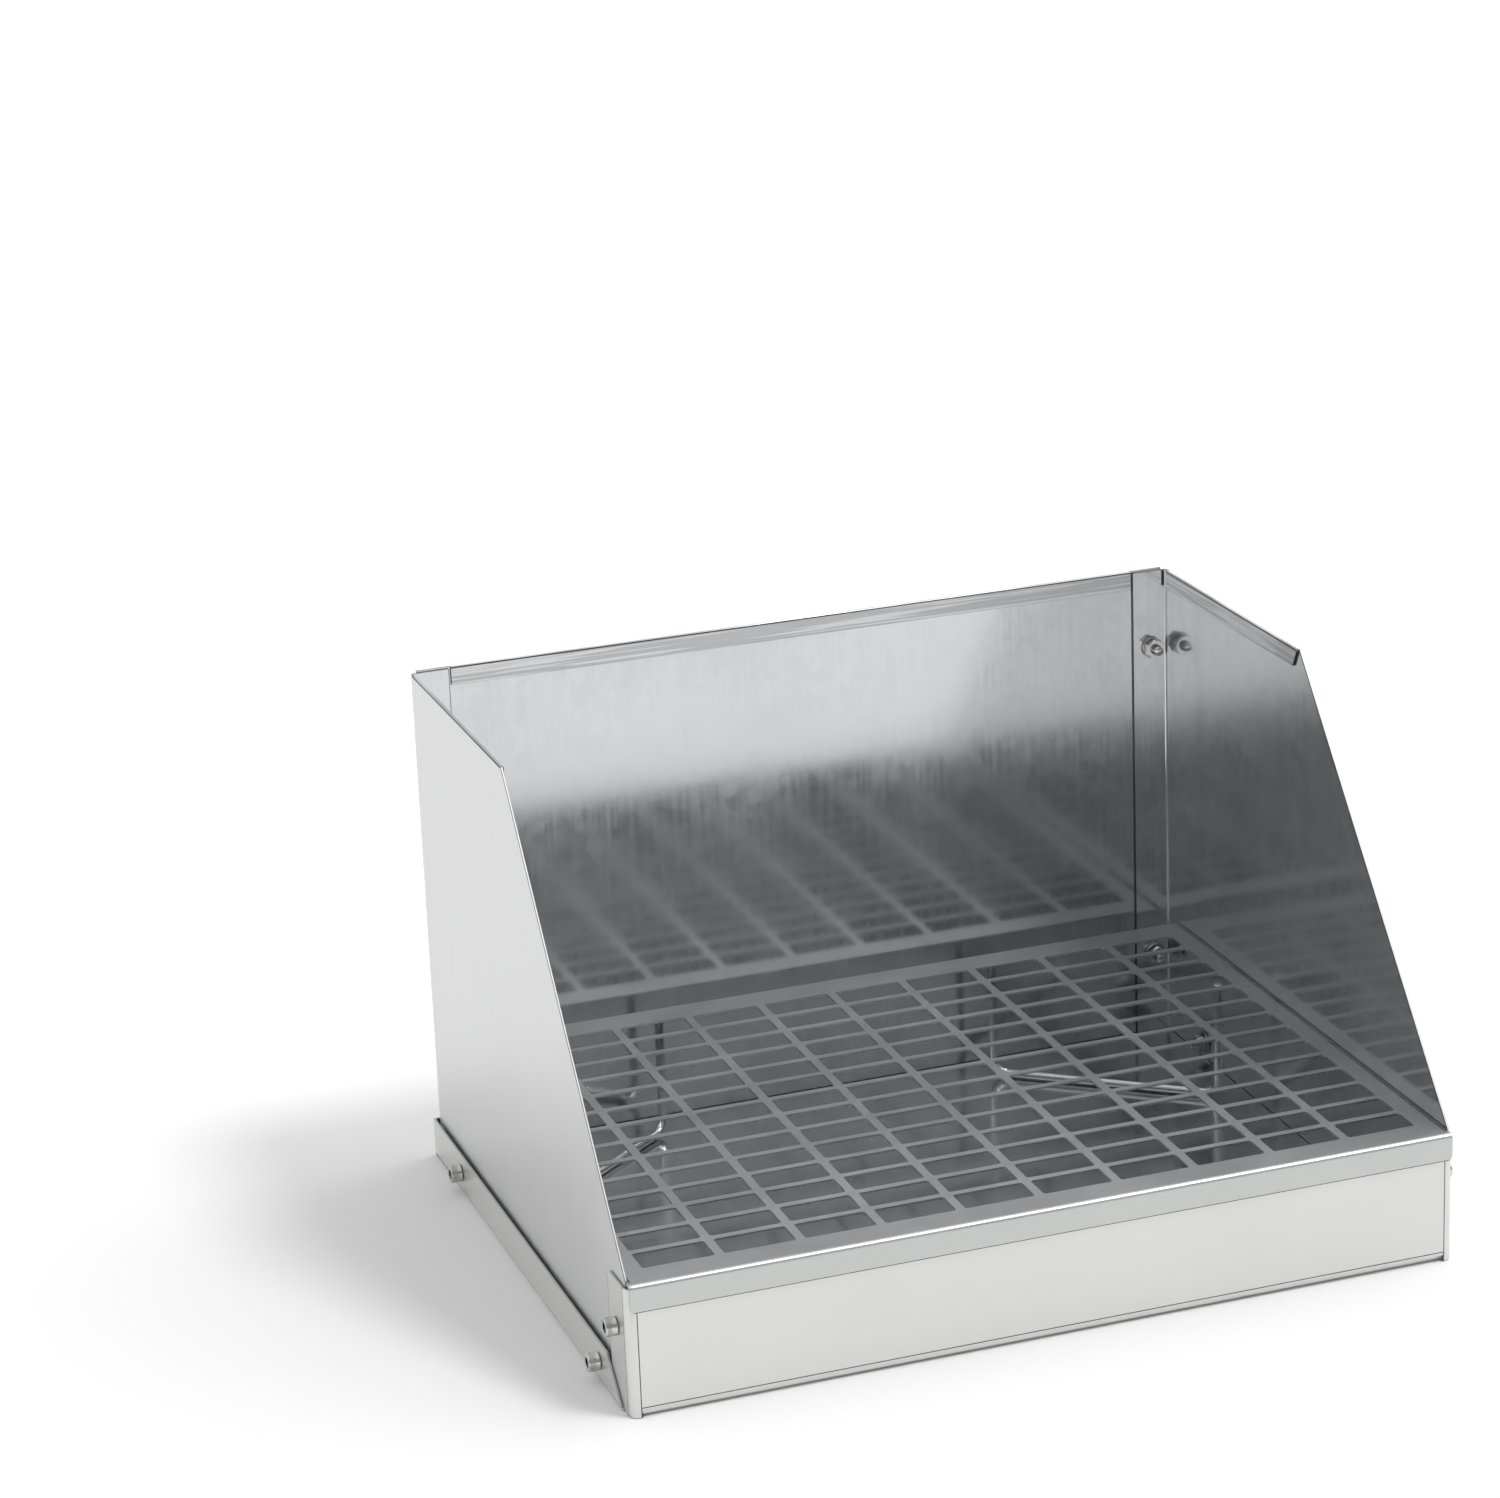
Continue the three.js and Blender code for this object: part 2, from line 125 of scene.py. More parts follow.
# ---- Folded pan ---------------------------------------------------------------------------------
# One 1 mm sheet of bright steel, cut and folded on a press into the floor, the front wall with its
# two side tabs, and the flanges up the sides and the back. The press leaves a fine groove along each
# side of the front wall's round folds, and the groove is painted near-black as shade.
sheet = 1 * mm
edge_break = 0.15 * mm  # how far a cut edge is taken off
wall_fold = 5 * mm
flange_fold = 1.4 * mm
fold_steps = 8
flange_steps = 4
press_line = 0.5 * mm  # width of a line pressed along a fold
line_gap = 0.1 * mm  # between the end of a fold and the line beside it
press_depth = 0.2 * mm
soft_line_depth = 0.05 * mm  # a shallower line where another sheet lies close behind
edge_shade_width = 0.4 * mm  # width of a strip along a free edge painted dark as shade, where the edge meets a gap
slack = 0.1 * mm  # how far from a sheet still counts as on it
line_start = wall_fold + line_gap
pan_low, pan_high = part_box("base_pan")
front = pan_low.y
back = pan_high.y
tab_face = pan_high.x - 1.3 * mm
tab_rear = front + 29 * mm
tab_corner = 4 * mm
corner_steps = 6
wall_foot = 0.3 * mm  # how far above the floor the wall's round corners end
flange_top = 22 * mm
flange_nose = front + 11 * mm  # where the side flanges' slanted ends start
back_flange_half = pan_high.x - 1.5 * mm


def drawn(mesh, points):
    """Joins a few points in a row with edges."""
    corners = [mesh.verts.new(point) for point in points]
    return [mesh.edges.new(pair) for pair in zip(corners, corners[1:])]


def pull(mesh, edges, travel):
    """Pulls edges out into a sheet and gives back the far edges."""
    made = bmesh.ops.extrude_edge_only(mesh, edges=edges)["geom"]
    points = {part for part in made if isinstance(part, bmesh.types.BMVert)}
    bmesh.ops.translate(mesh, verts=list(points), vec=travel)
    lines = (part for part in made if isinstance(part, bmesh.types.BMEdge))
    return [line for line in lines if points.issuperset(line.verts)]


def roll(mesh, edges, centre, axis, angle, steps):
    """Rolls edges round an axis into a fold and gives back the far edges."""
    made = bmesh.ops.spin(
        mesh, geom=edges, cent=centre, axis=axis, angle=angle, steps=steps, use_merge=False
    )
    return [part for part in made["geom_last"] if isinstance(part, bmesh.types.BMEdge)]


def edges_at(mesh, test):
    """The edges whose two ends both pass a test on their place."""
    return [edge for edge in mesh.edges if all(test(corner.co) for corner in edge.verts)]


def near(a, b):
    """Whether two lengths are the same to a hundredth of a millimetre."""
    return abs(a - b) < 0.01 * mm


def round_fold(mesh, edges, radius, steps):
    bmesh.ops.bevel(
        mesh, geom=edges, offset=radius, segments=steps, profile=0.5, affect="EDGES", material=-1
    )


def round_corner(mesh, corners, radius, steps):
    bmesh.ops.bevel(
        mesh, geom=corners, offset=radius, segments=steps, profile=0.5, affect="VERTICES",
        material=-1,
    )


def face_out(mesh, outside):
    """Turns a sheet's faces so that its widest one looks along the given direction."""
    bmesh.ops.recalc_face_normals(mesh, faces=mesh.faces)
    widest = max(mesh.faces, key=lambda face: face.calc_area())
    if widest.normal.dot(Vector(outside)) < 0:
        bmesh.ops.reverse_faces(mesh, faces=mesh.faces)


def finished(name, mesh, finishes, body, nodes):
    """Makes a mesh a piece of the box: its finishes, what it rides on and what it stands for."""
    for face in mesh.faces:
        face.smooth = max(abs(part) for part in face.normal) < 0.9995
    data = bpy.data.meshes.new(name)
    mesh.to_mesh(data)
    mesh.free()
    for finish in finishes:
        data.materials.append(finish)
    piece = bpy.data.objects.new(name, data)
    bpy.context.collection.objects.link(piece)
    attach(piece, body)
    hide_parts(*nodes)
    return piece


def thickened(piece, inside, rim, shade_finish_index):
    """Gives a sheet its thickness on its inner side and breaks its cut edges.

    inside and rim count on from each face's own finish to those of its other side and edge.
    shade_finish_index is the number of the finish along the broken edges, which paints them
    near-black as shade lines."""
    body = piece.modifiers.new("thickness", "SOLIDIFY")
    body.thickness = sheet
    body.offset = -1
    body.use_even_offset = True
    body.material_offset = inside
    body.material_offset_rim = rim
    brake = piece.modifiers.new("edges", "BEVEL")
    brake.width = edge_break
    brake.segments = 2
    brake.limit_method = "ANGLE"
    brake.angle_limit = math.radians(62)
    brake.use_clamp_overlap = True
    brake.material = shade_finish_index


def linked(tree, kind, **sockets):
    """A node with its sockets set to values or joined to other nodes' outputs."""
    node = tree.nodes.new(kind)
    for socket, value in sockets.items():
        plug = node.inputs[socket.replace("_", " ")]
        if isinstance(value, bpy.types.NodeSocket):
            tree.links.new(value, plug)
        else:
            plug.default_value = value
    return node


def spread(tree, value, low, high, from_low=0.0, from_high=1.0):
    """Maps a value's range to another one."""
    node = linked(
        tree, "ShaderNodeMapRange", Value=value, From_Min=from_low, From_Max=from_high,
        To_Min=low, To_Max=high,
    )
    return node.outputs["Result"]


def added(tree, first, second):
    node = tree.nodes.new("ShaderNodeMath")
    node.operation = "ADD"
    tree.links.new(first, node.inputs[0])
    tree.links.new(second, node.inputs[1])
    return node.outputs[0]


def metal_finish(
    name, colour, shade, gloss, grain, grain_depth, crystal=0.0, crystal_size=150, mottle=0.03,
    streak=0.1, metal=1.0,
):
    """Bare sheet or rod: colour and gloss that drift, fine grain along one way, faint crystals.

    colour and shade are its lightest and darkest tone, gloss its two ends of roughness, and grain
    how tightly the fine lines are packed along x, y and z. streak is how strongly they show as
    tone, and metal falls below 1 where a dull haze lies on the sheet."""
    material = bpy.data.materials.new(name)
    material.use_nodes = True
    tree = material.node_tree
    shader = tree.nodes["Principled BSDF"]
    shader.inputs["Metallic"].default_value = metal
    place = tree.nodes.new("ShaderNodeTexCoord").outputs["Object"]

    clouds = linked(
        tree, "ShaderNodeTexNoise", Vector=place, Scale=16.0, Detail=3.0, Roughness=0.55
    ).outputs["Fac"]
    lines_place = linked(tree, "ShaderNodeMapping", Vector=place, Scale=grain).outputs["Vector"]
    lines = linked(
        tree, "ShaderNodeTexNoise", Vector=lines_place, Scale=1.0, Detail=1.5, Roughness=0.6
    ).outputs["Fac"]
    crystal_wander = 6 * mm
    bent = linked(
        tree, "ShaderNodeTexNoise", Vector=place, Scale=crystal_size * 0.6, Detail=2.0
    ).outputs["Color"]
    shift = tree.nodes.new("ShaderNodeVectorMath")
    shift.operation = "MULTIPLY_ADD"
    tree.links.new(bent, shift.inputs[0])
    shift.inputs[1].default_value = (crystal_wander, crystal_wander, crystal_wander)
    tree.links.new(place, shift.inputs[2])
    crystals = linked(
        tree, "ShaderNodeTexVoronoi", Vector=shift.outputs[0], Scale=float(crystal_size)
    ).outputs["Color"]
    tone = linked(tree, "ShaderNodeSeparateColor", Color=crystals).outputs["Red"]

    cell_tone = spread(tree, tone, 0.5 - crystal / 2, 0.5 + crystal / 2)
    drift = added(tree, spread(tree, clouds, -0.5, 0.5, 0.3, 0.7), cell_tone)
    drift = added(tree, drift, spread(tree, lines, -streak, streak, 0.35, 0.65))
    blend = tree.nodes.new("ShaderNodeMix")
    blend.data_type = "RGBA"
    blend.inputs["A"].default_value = (*shade, 1)
    blend.inputs["B"].default_value = (*colour, 1)
    tree.links.new(drift, blend.inputs["Factor"])
    tree.links.new(blend.outputs["Result"], shader.inputs["Base Color"])

    low_gloss, high_gloss = gloss
    rough = spread(tree, lines, low_gloss, high_gloss, 0.3, 0.7)
    rough = added(tree, rough, spread(tree, clouds, -mottle, mottle, 0.3, 0.7))
    rough = added(tree, rough, spread(tree, tone, 0.0, crystal * 0.05))
    tree.links.new(rough, shader.inputs["Roughness"])

    relief = spread(tree, lines, 0.0, grain_depth)
    if crystal:
        relief = added(tree, relief, spread(tree, tone, 0.0, crystal * 0.35))
        ripple = linked(
            tree, "ShaderNodeTexNoise", Vector=place, Scale=60.0, Detail=2.0
        ).outputs["Fac"]
        relief = added(tree, relief, spread(tree, ripple, 0.0, crystal * 1.6))
    bump = linked(tree, "ShaderNodeBump", Height=relief, Strength=1.0, Distance=0.01 * mm)
    tree.links.new(bump.outputs["Normal"], shader.inputs["Normal"])
    return material


pan_finish = metal_finish(
    "satin_bright_sheet", (0.72, 0.723, 0.715), (0.7, 0.704, 0.696), (0.3, 0.33),
    (30, 420, 420), 0.08, crystal=0.06, mottle=0.015, streak=0.06, metal=0.75,
)
pan_inner_finish = metal_finish(
    "mirror_pan_floor", (0.6, 0.615, 0.62), (0.54, 0.555, 0.565), (0.1, 0.16),
    (420, 30, 420), 0.3, crystal=0.5, metal=0.86,
)
cut_finish = metal_finish(
    "cut_sheet_edge", (0.56, 0.565, 0.57), (0.46, 0.465, 0.47), (0.42, 0.5), (900, 900, 900), 0.4,
)
# Near-black finish for broken edges, pressed grooves, narrow edge strips and screw sockets: painted
# shade standing in for the shade in gaps, grooves and recesses.
edge_shade_finish = metal_finish(
    "painted_edge_shade", (0.13, 0.133, 0.135), (0.08, 0.082, 0.084), (0.32, 0.4), (900, 900, 900), 0.3,
)

pan = bmesh.new()
line_outer = tab_face - line_start
line_inner = line_outer - press_line
plan = []
for side in (-1, 1):
    half = [
        (side * tab_face, tab_rear),
        (side * tab_face, front + line_start + press_line),
        (side * (tab_face - soft_line_depth), front + line_start + press_line / 2),
        (side * tab_face, front + line_start),
        (side * tab_face, front),
        (side * line_outer, front),
        (side * (line_outer + line_inner) / 2, front + press_depth),
        (side * line_inner, front),
    ]
    plan += half if side < 0 else half[::-1]
wall_top = pan_high.z
wall_line = drawn(pan, [(x, y, wall_top) for x, y in plan])
wall_line = pull(pan, wall_line, (0, 0, line_start + press_line - wall_top))
middle = [edge for edge in wall_line if all(near(abs(end.co.x), line_inner) for end in edge.verts)]
middle = [edge for edge in middle if edge.calc_length() > line_inner]
corners = [edge for edge in wall_line if edge not in middle]
pull(pan, corners, (0, 0, wall_foot - line_start - press_line))
for inward in (press_depth, -press_depth):
    middle = pull(pan, middle, (0, inward, -press_line / 2))
middle = pull(pan, middle, (0, 0, -line_gap))
middle = roll(
    pan, middle, (0, front + wall_fold, wall_fold), (1, 0, 0), math.pi / 2, fold_steps
)
pull(pan, middle, (0, flange_nose - front - wall_fold, 0))

tray = []
for side in (-1, 1):
    half = [
        (side * pan_high.x, flange_nose, flange_top),
        (side * pan_high.x, flange_nose, 0),
        (side * back_flange_half, flange_nose, 0),
        (side * line_inner, flange_nose, 0),
    ]
    tray += half if side < 0 else half[::-1]
tray_rear = pull(pan, drawn(pan, tray), (0, back - flange_nose, 0))
rear_foot = [
    edge for edge in tray_rear
    if all(abs(end.co.x) < pan_high.x - mm and near(end.co.z, 0) for end in edge.verts)
]
pull(pan, rear_foot, (0, 0, flange_top))
bmesh.ops.remove_doubles(pan, verts=pan.verts, dist=0.01 * mm)
wall_folds = edges_at(pan, lambda at: near(abs(at.x), tab_face) and near(at.y, front))
round_fold(pan, wall_folds, wall_fold, fold_steps)
side_folds = edges_at(pan, lambda at: near(abs(at.x), pan_high.x) and near(at.z, 0))
back_folds = edges_at(
    pan, lambda at: near(at.y, back) and near(at.z, 0) and abs(at.x) < pan_high.x - mm
)
round_fold(pan, side_folds + back_folds, flange_fold, flange_steps)
for side in (-1, 1):
    flange = [
        part for part in [*pan.verts, *pan.edges, *pan.faces]
        if all(
            side * at.co.x > pan_high.x - slack
            for at in (part.verts if hasattr(part, "verts") else [part])
        )
    ]
    bmesh.ops.bisect_plane(
        pan, geom=flange, plane_co=(0, flange_nose, 0), plane_no=(0, -1, 1), clear_outer=True
    )
wires = [edge for edge in pan.edges if not edge.link_faces]
bmesh.ops.delete(pan, geom=wires, context="EDGES")
tab_tips = [
    point for point in pan.verts
    if near(abs(point.co.x), tab_face) and near(point.co.y, tab_rear) and near(point.co.z, wall_top)
]
round_corner(pan, tab_tips, tab_corner, corner_steps)
tabs = [face for face in pan.faces if abs(face.calc_center_median().x) > tab_face - press_depth]
tabs = [face for face in tabs if face.calc_center_median().z > flange_top]
bmesh.ops.bisect_plane(
    pan, geom=tabs + list({edge for face in tabs for edge in face.edges}),
    plane_co=(0, tab_rear - edge_shade_width, 0), plane_no=(0, 1, 0),
)
# Painted shade: the pressed grooves along the front wall's folds take the near-black edge finish.
for strip in pan.faces:
    at = strip.calc_center_median()
    across_line = line_inner < abs(at.x) < line_outer and at.y < front + press_depth
    level_line = abs(at.x) < line_inner and 0 < at.z - line_start < press_line
    side_line = abs(at.x) > tab_face - press_depth and 0 < at.y - front - line_start < press_line
    pressed = (across_line or level_line or side_line) and at.z > wall_foot and at.y < flange_nose
    on_tab = abs(abs(at.x) - tab_face) < slack and at.z > wall_fold
    # Painted shade: a strip along each tab's rear edge takes the near-black edge finish.
    if pressed or (on_tab and at.y > tab_rear - edge_shade_width):
        strip.material_index = 3
face_out(pan, (0, 0, -1))
piece = finished(
    "pan_sheet", pan, [pan_finish, pan_inner_finish, cut_finish, edge_shade_finish],
    "box", ["base_pan"]
)
thickened(piece, 1, 2, 3)

# ---- Side panels --------------------------------------------------------------------------------
# Two mirrored 1 mm sheets. Each has its top edge folded flat inward as a hem, so that it isn't
# sharp, and its rear edge folded across as a flange that the back panel is screwed to.
hem_gap = 0.2 * mm
crest = sheet + hem_gap / 2  # radius over the top of a flat hem
hem_height = 10.5 * mm
hem_relief = 5 * mm
hem_steps = 8
hem_start = 1.2 * mm  # from the top of the slope back to the hem
hem_end = 343.4 * mm  # from the front to the hem's rear end
slope_foot_height = 73 * mm
slope_run = 175 * mm  # from the front back to the top of the slope
slope_shade_width = 0.8 * mm  # width of the strip down a sloped front edge painted near-black as shade
rear_flange = 21.4 * mm
rear_fold = 2 * mm
crest_middle = 0.8 * crest  # half width of the strip along a hem's crest that keeps the hem's finish; the crest on either side of it is painted near-black as shade
panel_finish = metal_finish(
    "satin_panel_outside", (0.69, 0.697, 0.692), (0.655, 0.662, 0.657), (0.315, 0.37),
    (420, 420, 22), 0.06, crystal=0.06, streak=0.05, metal=0.75,
)
mirror_finish = metal_finish(
    "mirror_panel_inside", (0.67, 0.685, 0.69), (0.6, 0.615, 0.625), (0.1, 0.14),
    (420, 420, 22), 0.22, crystal=0.5, streak=0.2, metal=0.91,
)
hem_finish = metal_finish(
    "brushed_hem", (0.77, 0.775, 0.78), (0.5, 0.505, 0.51), (0.31, 0.42), (10, 10, 650), 1.8,
    streak=1.1,
)

# A face's own number in this list is its outer finish. The next one is its inner finish, and the
# third one on is its cut edge, so a painted shade strip can have either a grey cut edge or a
# near-black one.
panel_finishes = [
    panel_finish, mirror_finish, hem_finish, cut_finish, edge_shade_finish, edge_shade_finish, edge_shade_finish,
    cut_finish,
]

for side, name in ((-1, "left"), (1, "right")):
    low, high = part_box(f"{name}_side_panel")
    face = side * max(abs(low.x), abs(high.x))
    slope_top = front + slope_run
    hem_front = slope_top + hem_start
    hem_rear = front + hem_end
    fold_top = high.z - crest
    outline = [
        (low.y, low.z),
        (high.y, low.z),
        (high.y, high.z),
        (hem_rear, high.z),
        (hem_rear, fold_top),
        (hem_front, fold_top),
        (hem_front, high.z),
        (slope_top, high.z),
        (low.y, slope_foot_height),
    ]
    panel = bmesh.new()
    panel.faces.new([panel.verts.new((face, y, z)) for y, z in outline])
    rear_edge = edges_at(panel, lambda at: near(at.y, high.y))
    flange_end = pull(panel, rear_edge, (-side * (rear_flange - edge_shade_width), 0, 0))
    pull(panel, flange_end, (-side * edge_shade_width, 0, 0))
    rear_corner = edges_at(panel, lambda at: near(at.x, face) and near(at.y, high.y))
    round_fold(panel, rear_corner, rear_fold, corner_steps)
    brow = edges_at(
        panel, lambda at: near(at.z, fold_top) and hem_front - mm < at.y < hem_rear + mm
    )
    centre = (face - side * crest, 0, fold_top)
    flap = roll(panel, brow, centre, (0, 1, 0), -side * math.pi, hem_steps)
    flap = pull(panel, flap, (0, 0, crest - hem_height))
    for end in {end for edge in flap for end in edge.verts}:
        if near(end.co.y, hem_front):
            end.co.y += hem_relief
    slope_foot = Vector((face, low.y, slope_foot_height))
    slope = Vector((0, slope_top - low.y, high.z - slope_foot_height)).normalized()
    slope_out = Vector((0, -slope.z, slope.y))
    slope_shade_start = slope_foot - slope_out * slope_shade_width
    bmesh.ops.bisect_plane(
        panel, geom=panel.faces[:] + panel.edges[:], plane_co=slope_shade_start, plane_no=slope_out
    )
    for strip in panel.faces:
        at = strip.calc_center_median()
        inside = side * (face - at.x)
        # Painted shade: the strip down the sloped front edge takes the near-black edge finish.
        if (at - slope_shade_start).dot(slope_out) > 0:
            strip.material_index = 4
        # Painted shade: the rear flange's free-end strip is grey outside and near-black inside and on
        # its edge.
        if inside > rear_flange - edge_shade_width:
            strip.material_index = 3
        if at.z > high.z - hem_height and hem_front < at.y < hem_rear:
            if inside > crest:
                strip.material_index = 2
            # Painted shade: the crest beside its middle strip takes the near-black edge finish.
            if at.z > fold_top:
                strip.material_index = 2 if abs(inside - crest) < crest_middle else 4
    face_out(panel, (side, 0, 0))
    piece = finished(
        f"{name}_panel_sheet", panel, panel_finishes, "box", [f"{name}_side_panel"]
    )
    thickened(piece, 1, 3, 4)

# ---- Back panel ---------------------------------------------------------------------------------
# A flat 1 mm sheet behind the two rear flanges, with its top edge folded flat forward as a hem
# that fits between them.
low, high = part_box("back_panel")
hem_half = 200 * mm
fold_top = high.z - crest
outline = [
    (low.x, low.z),
    (high.x, low.z),
    (high.x, high.z),
    (hem_half, high.z),
    (hem_half, fold_top),
    (-hem_half, fold_top),
    (-hem_half, high.z),
    (low.x, high.z),
]
back_sheet = bmesh.new()
back_sheet.faces.new([back_sheet.verts.new((x, high.y, z)) for x, z in outline])
brow = edges_at(back_sheet, lambda at: near(at.z, fold_top))
flap = roll(back_sheet, brow, (0, high.y - crest, fold_top), (1, 0, 0), math.pi, hem_steps)
pull(back_sheet, flap, (0, 0, crest - hem_height))
for strip in back_sheet.faces:
    at = strip.calc_center_median()
    if at.y < high.y - crest:
        strip.material_index = 2
    # Painted shade: the crest beside its middle strip takes the near-black edge finish.
    if at.z > fold_top and abs(at.x) < hem_half:
        strip.material_index = 2 if abs(high.y - crest - at.y) < crest_middle else 4
face_out(back_sheet, (0, 1, 0))
piece = finished(
    "back_panel_sheet", back_sheet, panel_finishes, "box", ["back_panel"]
)
thickened(piece, 1, 3, 4)

# ---- Grate --------------------------------------------------------------------------------------
# A loose 1 mm plate punched with ten by fourteen round-cornered slots. Its front edge is folded
# down into a lip that hangs over the front wall, and it lifts straight out for cleaning.
columns = 10
rows = 14
long_bar = 4.8 * mm
cross_bar = 4 * mm
slot_corner = 1.5 * mm
slot_steps = 4
rear_tip = 1.5 * mm
rear_tip_steps = 3
lip_corner = 3 * mm
lip_corner_steps = 5
side_border = 10.2 * mm
front_border = 16.5 * mm
back_border = 18 * mm
grate_low, grate_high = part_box("grate")
lip_fold = 2.5 * mm
lip_half = grate_high.x
plate_half = lip_half - 2.3 * mm
plate_front = front + 3.7 * mm
slots_left = -plate_half + side_border
slots_front = front + front_border
slot_width = (-2 * slots_left - (columns - 1) * long_bar) / columns
slot_depth = (grate_high.y - back_border - slots_front - (rows - 1) * cross_bar) / rows

grate = bmesh.new()
middle_x = slots_left + slot_width / 2
middle_y = slots_front + slot_depth / 2
hole = bmesh.ops.create_grid(
    grate, x_segments=1, y_segments=1, size=0.5,
    matrix=Matrix.Translation((middle_x, middle_y, grate_high.z))
    @ Matrix.Diagonal((slot_width, slot_depth, 1, 1)),
)["verts"]
round_corner(grate, hole, slot_corner, slot_steps)
bmesh.ops.delete(grate, geom=grate.faces[:], context="FACES_ONLY")
bmesh.ops.create_grid(
    grate, x_segments=1, y_segments=1, size=0.5,
    matrix=Matrix.Translation((middle_x, middle_y, grate_high.z))
    @ Matrix.Diagonal((slot_width + long_bar, slot_depth + cross_bar, 1, 1)),
)
bmesh.ops.delete(grate, geom=grate.faces[:], context="FACES_ONLY")
bmesh.ops.triangle_fill(grate, use_beauty=True, edges=grate.edges[:])
cell = [*grate.verts, *grate.edges, *grate.faces]
for column in range(columns):
    for row in range(rows):
        if column or row:
            copied = bmesh.ops.duplicate(grate, geom=cell)["geom"]
            step = (column * (slot_width + long_bar), row * (slot_depth + cross_bar), 0)
            bmesh.ops.translate(
                grate, verts=[part for part in copied if isinstance(part, bmesh.types.BMVert)],
                vec=step,
            )
bmesh.ops.remove_doubles(grate, verts=grate.verts, dist=0.05 * mm)
field_side = -slots_left + long_bar / 2
for side in (-1, 1):
    rim = edges_at(grate, lambda at: near(at.x, side * field_side))
    pull(grate, rim, (side * (plate_half - field_side), 0, 0))
field_back = grate_high.y - back_border + cross_bar / 2
pull(grate, edges_at(grate, lambda at: near(at.y, field_back)), (0, grate_high.y - field_back, 0))
rear_tips = [
    point for point in grate.verts
    if near(abs(point.co.x), plate_half) and near(point.co.y, grate_high.y)
]
field_front = slots_front - cross_bar / 2
brow = edges_at(grate, lambda at: near(at.y, field_front))
brow = pull(grate, brow, (0, plate_front - field_front, 0))
lip_start = grate_low.y + lip_fold
brow = pull(grate, brow, (0, lip_start - plate_front, 0))
for side in (-1, 1):
    wing = edges_at(
        grate, lambda at: near(at.x, side * plate_half) and at.y < plate_front + slack
    )
    pull(grate, wing, (side * (lip_half - plate_half), 0, 0))
brow = edges_at(grate, lambda at: near(at.y, lip_start))
brow = roll(
    grate, brow, (0, lip_start, grate_high.z - lip_fold), (1, 0, 0), math.pi / 2, fold_steps
)
brow = pull(grate, brow, (0, 0, -line_gap))
for inward in (soft_line_depth, -soft_line_depth):
    brow = pull(grate, brow, (0, inward, -press_line / 2))
brow = pull(grate, brow, (0, 0, grate_low.z - min(end.co.z for edge in brow for end in edge.verts)))
bmesh.ops.remove_doubles(grate, verts=grate.verts, dist=0.02 * mm)
lip_tips = [
    point for point in grate.verts
    if near(abs(point.co.x), lip_half) and near(point.co.z, grate_low.z)
]
round_corner(grate, lip_tips, lip_corner, lip_corner_steps)
round_corner(grate, [tip for tip in rear_tips if tip.is_valid], rear_tip, rear_tip_steps)
skirt = [face for face in grate.faces if face.calc_center_median().z < grate_high.z - lip_fold]
bmesh.ops.bisect_plane(
    grate, geom=skirt + list({edge for face in skirt for edge in face.edges}),
    plane_co=(0, 0, grate_low.z + edge_shade_width), plane_no=(0, 0, 1),
)
# Painted shade: a strip along the lip's lower edge takes the near-black edge finish.
for strip in grate.faces:
    at = strip.calc_center_median()
    if at.y < lip_start:
        strip.material_index = 3 if at.z > grate_low.z + edge_shade_width else 2
face_out(grate, (0, 0, 1))

grate_finish = metal_finish(
    "satin_grate_sheet", (0.53, 0.545, 0.545), (0.475, 0.49, 0.49), (0.4, 0.47),
    (36, 520, 520), 0.5, crystal=0.2,
)
slot_edge_finish = metal_finish(
    "punched_slot_edge", (0.74, 0.75, 0.76), (0.6, 0.61, 0.62), (0.31, 0.42), (900, 900, 900), 0.4,
)
# The folded lip is the same sheet as the grate, given a lighter copy of its colour: painted light on
# the lip.
painted_light_lip_finish = metal_finish(
    "satin_grate_lip_painted_light", (0.58, 0.59, 0.582), (0.55, 0.56, 0.552), (0.33, 0.37),
    (36, 520, 520), 0.2, crystal=0.1, metal=0.9,
)
piece = finished(
    "grate_sheet", grate, [grate_finish, slot_edge_finish, edge_shade_finish, painted_light_lip_finish],
    "grate", ["grate"]
)
thickened(piece, 0, 1, 2)

